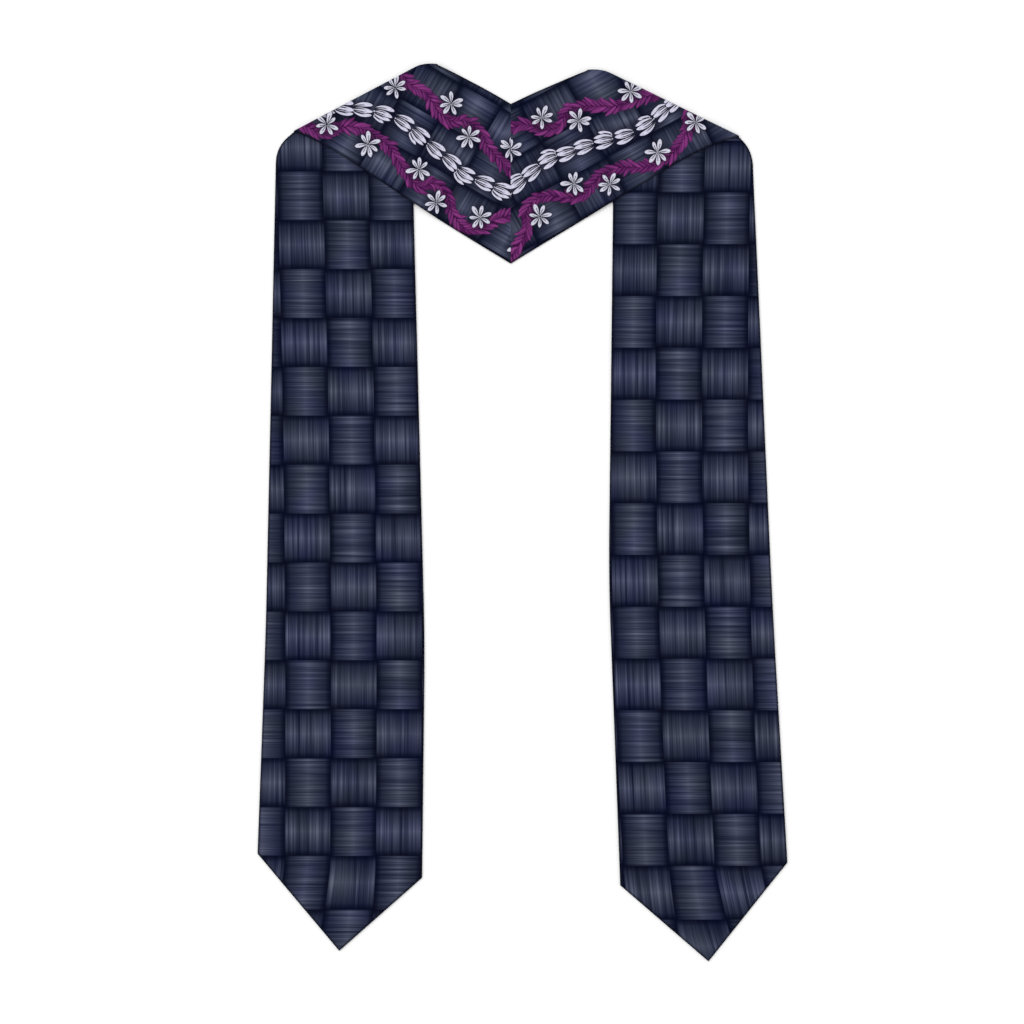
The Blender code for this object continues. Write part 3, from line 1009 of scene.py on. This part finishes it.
def half_pieces(operator, context, ply, paint):
    """Makes one ply of both halves, hides the solid that each stands for, attaches it to the root and
    reports its flat size.
    """
    cloth, look, is_face = context.scene.stole_cloth, context.scene.stole_print, ply == "face"
    material = cloth_material(ply + "_print", paint, look.face_lift if is_face else 1.0, look)
    other, outer_side = ("lining", -1) if is_face else ("face", 1)
    plaits = YOKE_PLAITS if is_face else PANEL_PLAITS
    for half in (LEFT, RIGHT):
        grid, patterns, edge = strip_surface(half, cloth)
        pattern = patterns[ply]
        cells = plait_cells(pattern, plaits[half.name], 0 if is_face else half.side)
        coordinates = {"plait": np.stack([*cells, edge], -1)}
        if is_face:
            coordinates["garland"] = garland_coordinates(half, pattern)
            coordinates["strand"] = strand_coordinates(half, pattern)
            coordinates["flower"], coordinates["bloom"] = flower_coordinates(half, pattern)
        node = half.name + "_" + ply
        piece = ply_piece(node + "_cloth", grid, edge, outer_side, cloth, coordinates)
        piece.data.materials.append(material)
        width, length, area = flat_size(grid)
        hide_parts(node)
        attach(piece, "root")
        operator.report({"INFO"}, f"{piece.name}: {width:.3f} x {length:.3f} m, {area:.4f} m2")


class STOLE_OT_faces(bpy.types.Operator):
    """Make the printed face cloth of both halves"""

    bl_idname = "stole.faces"
    bl_label = "Face cloths"

    def execute(self, context):
        half_pieces(self, context, "face", printed_face)
        return {"FINISHED"}


class STOLE_OT_linings(bpy.types.Operator):
    """Make the plaited-look lining cloth of both halves"""

    bl_idname = "stole.linings"
    bl_label = "Lining cloths"

    def execute(self, context):
        half_pieces(self, context, "lining", plain_plait)
        return {"FINISHED"}


class STOLE_OT_stage(bpy.types.Operator):
    """Make the pale floor, the soft light and the camera that looks straight down"""

    bl_idname = "stole.stage"
    bl_label = "Stage"

    def execute(self, context):
        scene, stage = context.scene, context.scene.stole_stage
        reach = stage.floor_side / 2
        corners = [(-reach, -reach), (reach, -reach), (reach, reach), (-reach, reach)]
        mesh = bpy.data.meshes.new("floor")
        mesh.from_pydata([(*corner, -FLOOR_DEPTH) for corner in corners], [], [(0, 1, 2, 3)])
        floor =bpy.data.objects.new("floor", mesh)
        scene.collection.objects.link(floor)
        paper = bpy.data.materials.new("white_paper")
        paper.use_nodes = True
        shader = paper.node_tree.nodes["Principled BSDF"]
        shader.inputs["Base Color"].default_value = stage.floor_colour
        shader.inputs["Roughness"].default_value = 1.0
        shader.inputs["Specular IOR Level"].default_value = 0.0
        mesh.materials.append(paper)
        floor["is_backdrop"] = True

        world = bpy.data.worlds.new("studio")
        world.use_nodes = True
        sky = world.node_tree.nodes["Background"]
        sky.inputs["Color"].default_value = (1.0, 1.0, 1.0, 1.0)
        sky.inputs["Strength"].default_value = stage.sky_light
        scene.world = world
        light = bpy.data.lights.new("overhead", "AREA")
        light.shape, light.size, light.energy = "SQUARE", LAMP_SIDE, stage.lamp_power
        lamp = bpy.data.objects.new("overhead", light)
        lamp.location, lamp.rotation_euler = LAMP_PLACE, LAMP_TILT
        scene.collection.objects.link(lamp)

        camera_data = bpy.data.cameras.new("camera")
        camera_data.lens = stage.lens
        camera = bpy.data.objects.new("camera", camera_data)
        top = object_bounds()[1][2]
        distance = stage.view_width * stage.lens / camera_data.sensor_width
        camera.location = (*(stole_origin() + VIEW_CENTRE)[:2], top + distance)
        scene.collection.objects.link(camera)
        scene.camera = camera
        scene.view_settings.view_transform = "Standard"
        return {"FINISHED"}


class STOLE_PT_panel(bpy.types.Panel):
    """The sidebar's list of pieces and settings"""

    bl_label = "Graduation stole"
    bl_space_type = "VIEW_3D"
    bl_region_type = "UI"
    bl_category = "Stole"

    def draw(self, context):
        layout, scene = self.layout, context.scene
        for settings, operators in (
            (scene.stole_cloth, ()),
            (scene.stole_print, ("stole.faces", "stole.linings")),
            (scene.stole_stage, ("stole.stage",)),
        ):
            box = layout.box()
            for name in settings.bl_rna.properties.keys():
                if name not in ("rna_type", "name"):
                    box.prop(settings, name)
            for operator in operators:
                box.operator(operator)


CLASSES = (StoleCloth, StolePrint, StoleStage,
           STOLE_OT_faces, STOLE_OT_linings, STOLE_OT_stage, STOLE_PT_panel)


def register():
    for each in CLASSES:
        bpy.utils.register_class(each)
    bpy.types.Scene.stole_cloth = bpy.props.PointerProperty(type=StoleCloth)
    bpy.types.Scene.stole_print = bpy.props.PointerProperty(type=StolePrint)
    bpy.types.Scene.stole_stage = bpy.props.PointerProperty(type=StoleStage)


def unregister():
    del bpy.types.Scene.stole_stage, bpy.types.Scene.stole_print, bpy.types.Scene.stole_cloth
    for each in reversed(CLASSES):
        bpy.utils.unregister_class(each)


def main():
    """Makes the cloth pieces, each reported with its flat size, and the stage."""
    register()
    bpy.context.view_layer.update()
    bpy.ops.stole.faces()
    bpy.ops.stole.linings()
    bpy.ops.stole.stage()


if __name__ == "__main__":
    main()
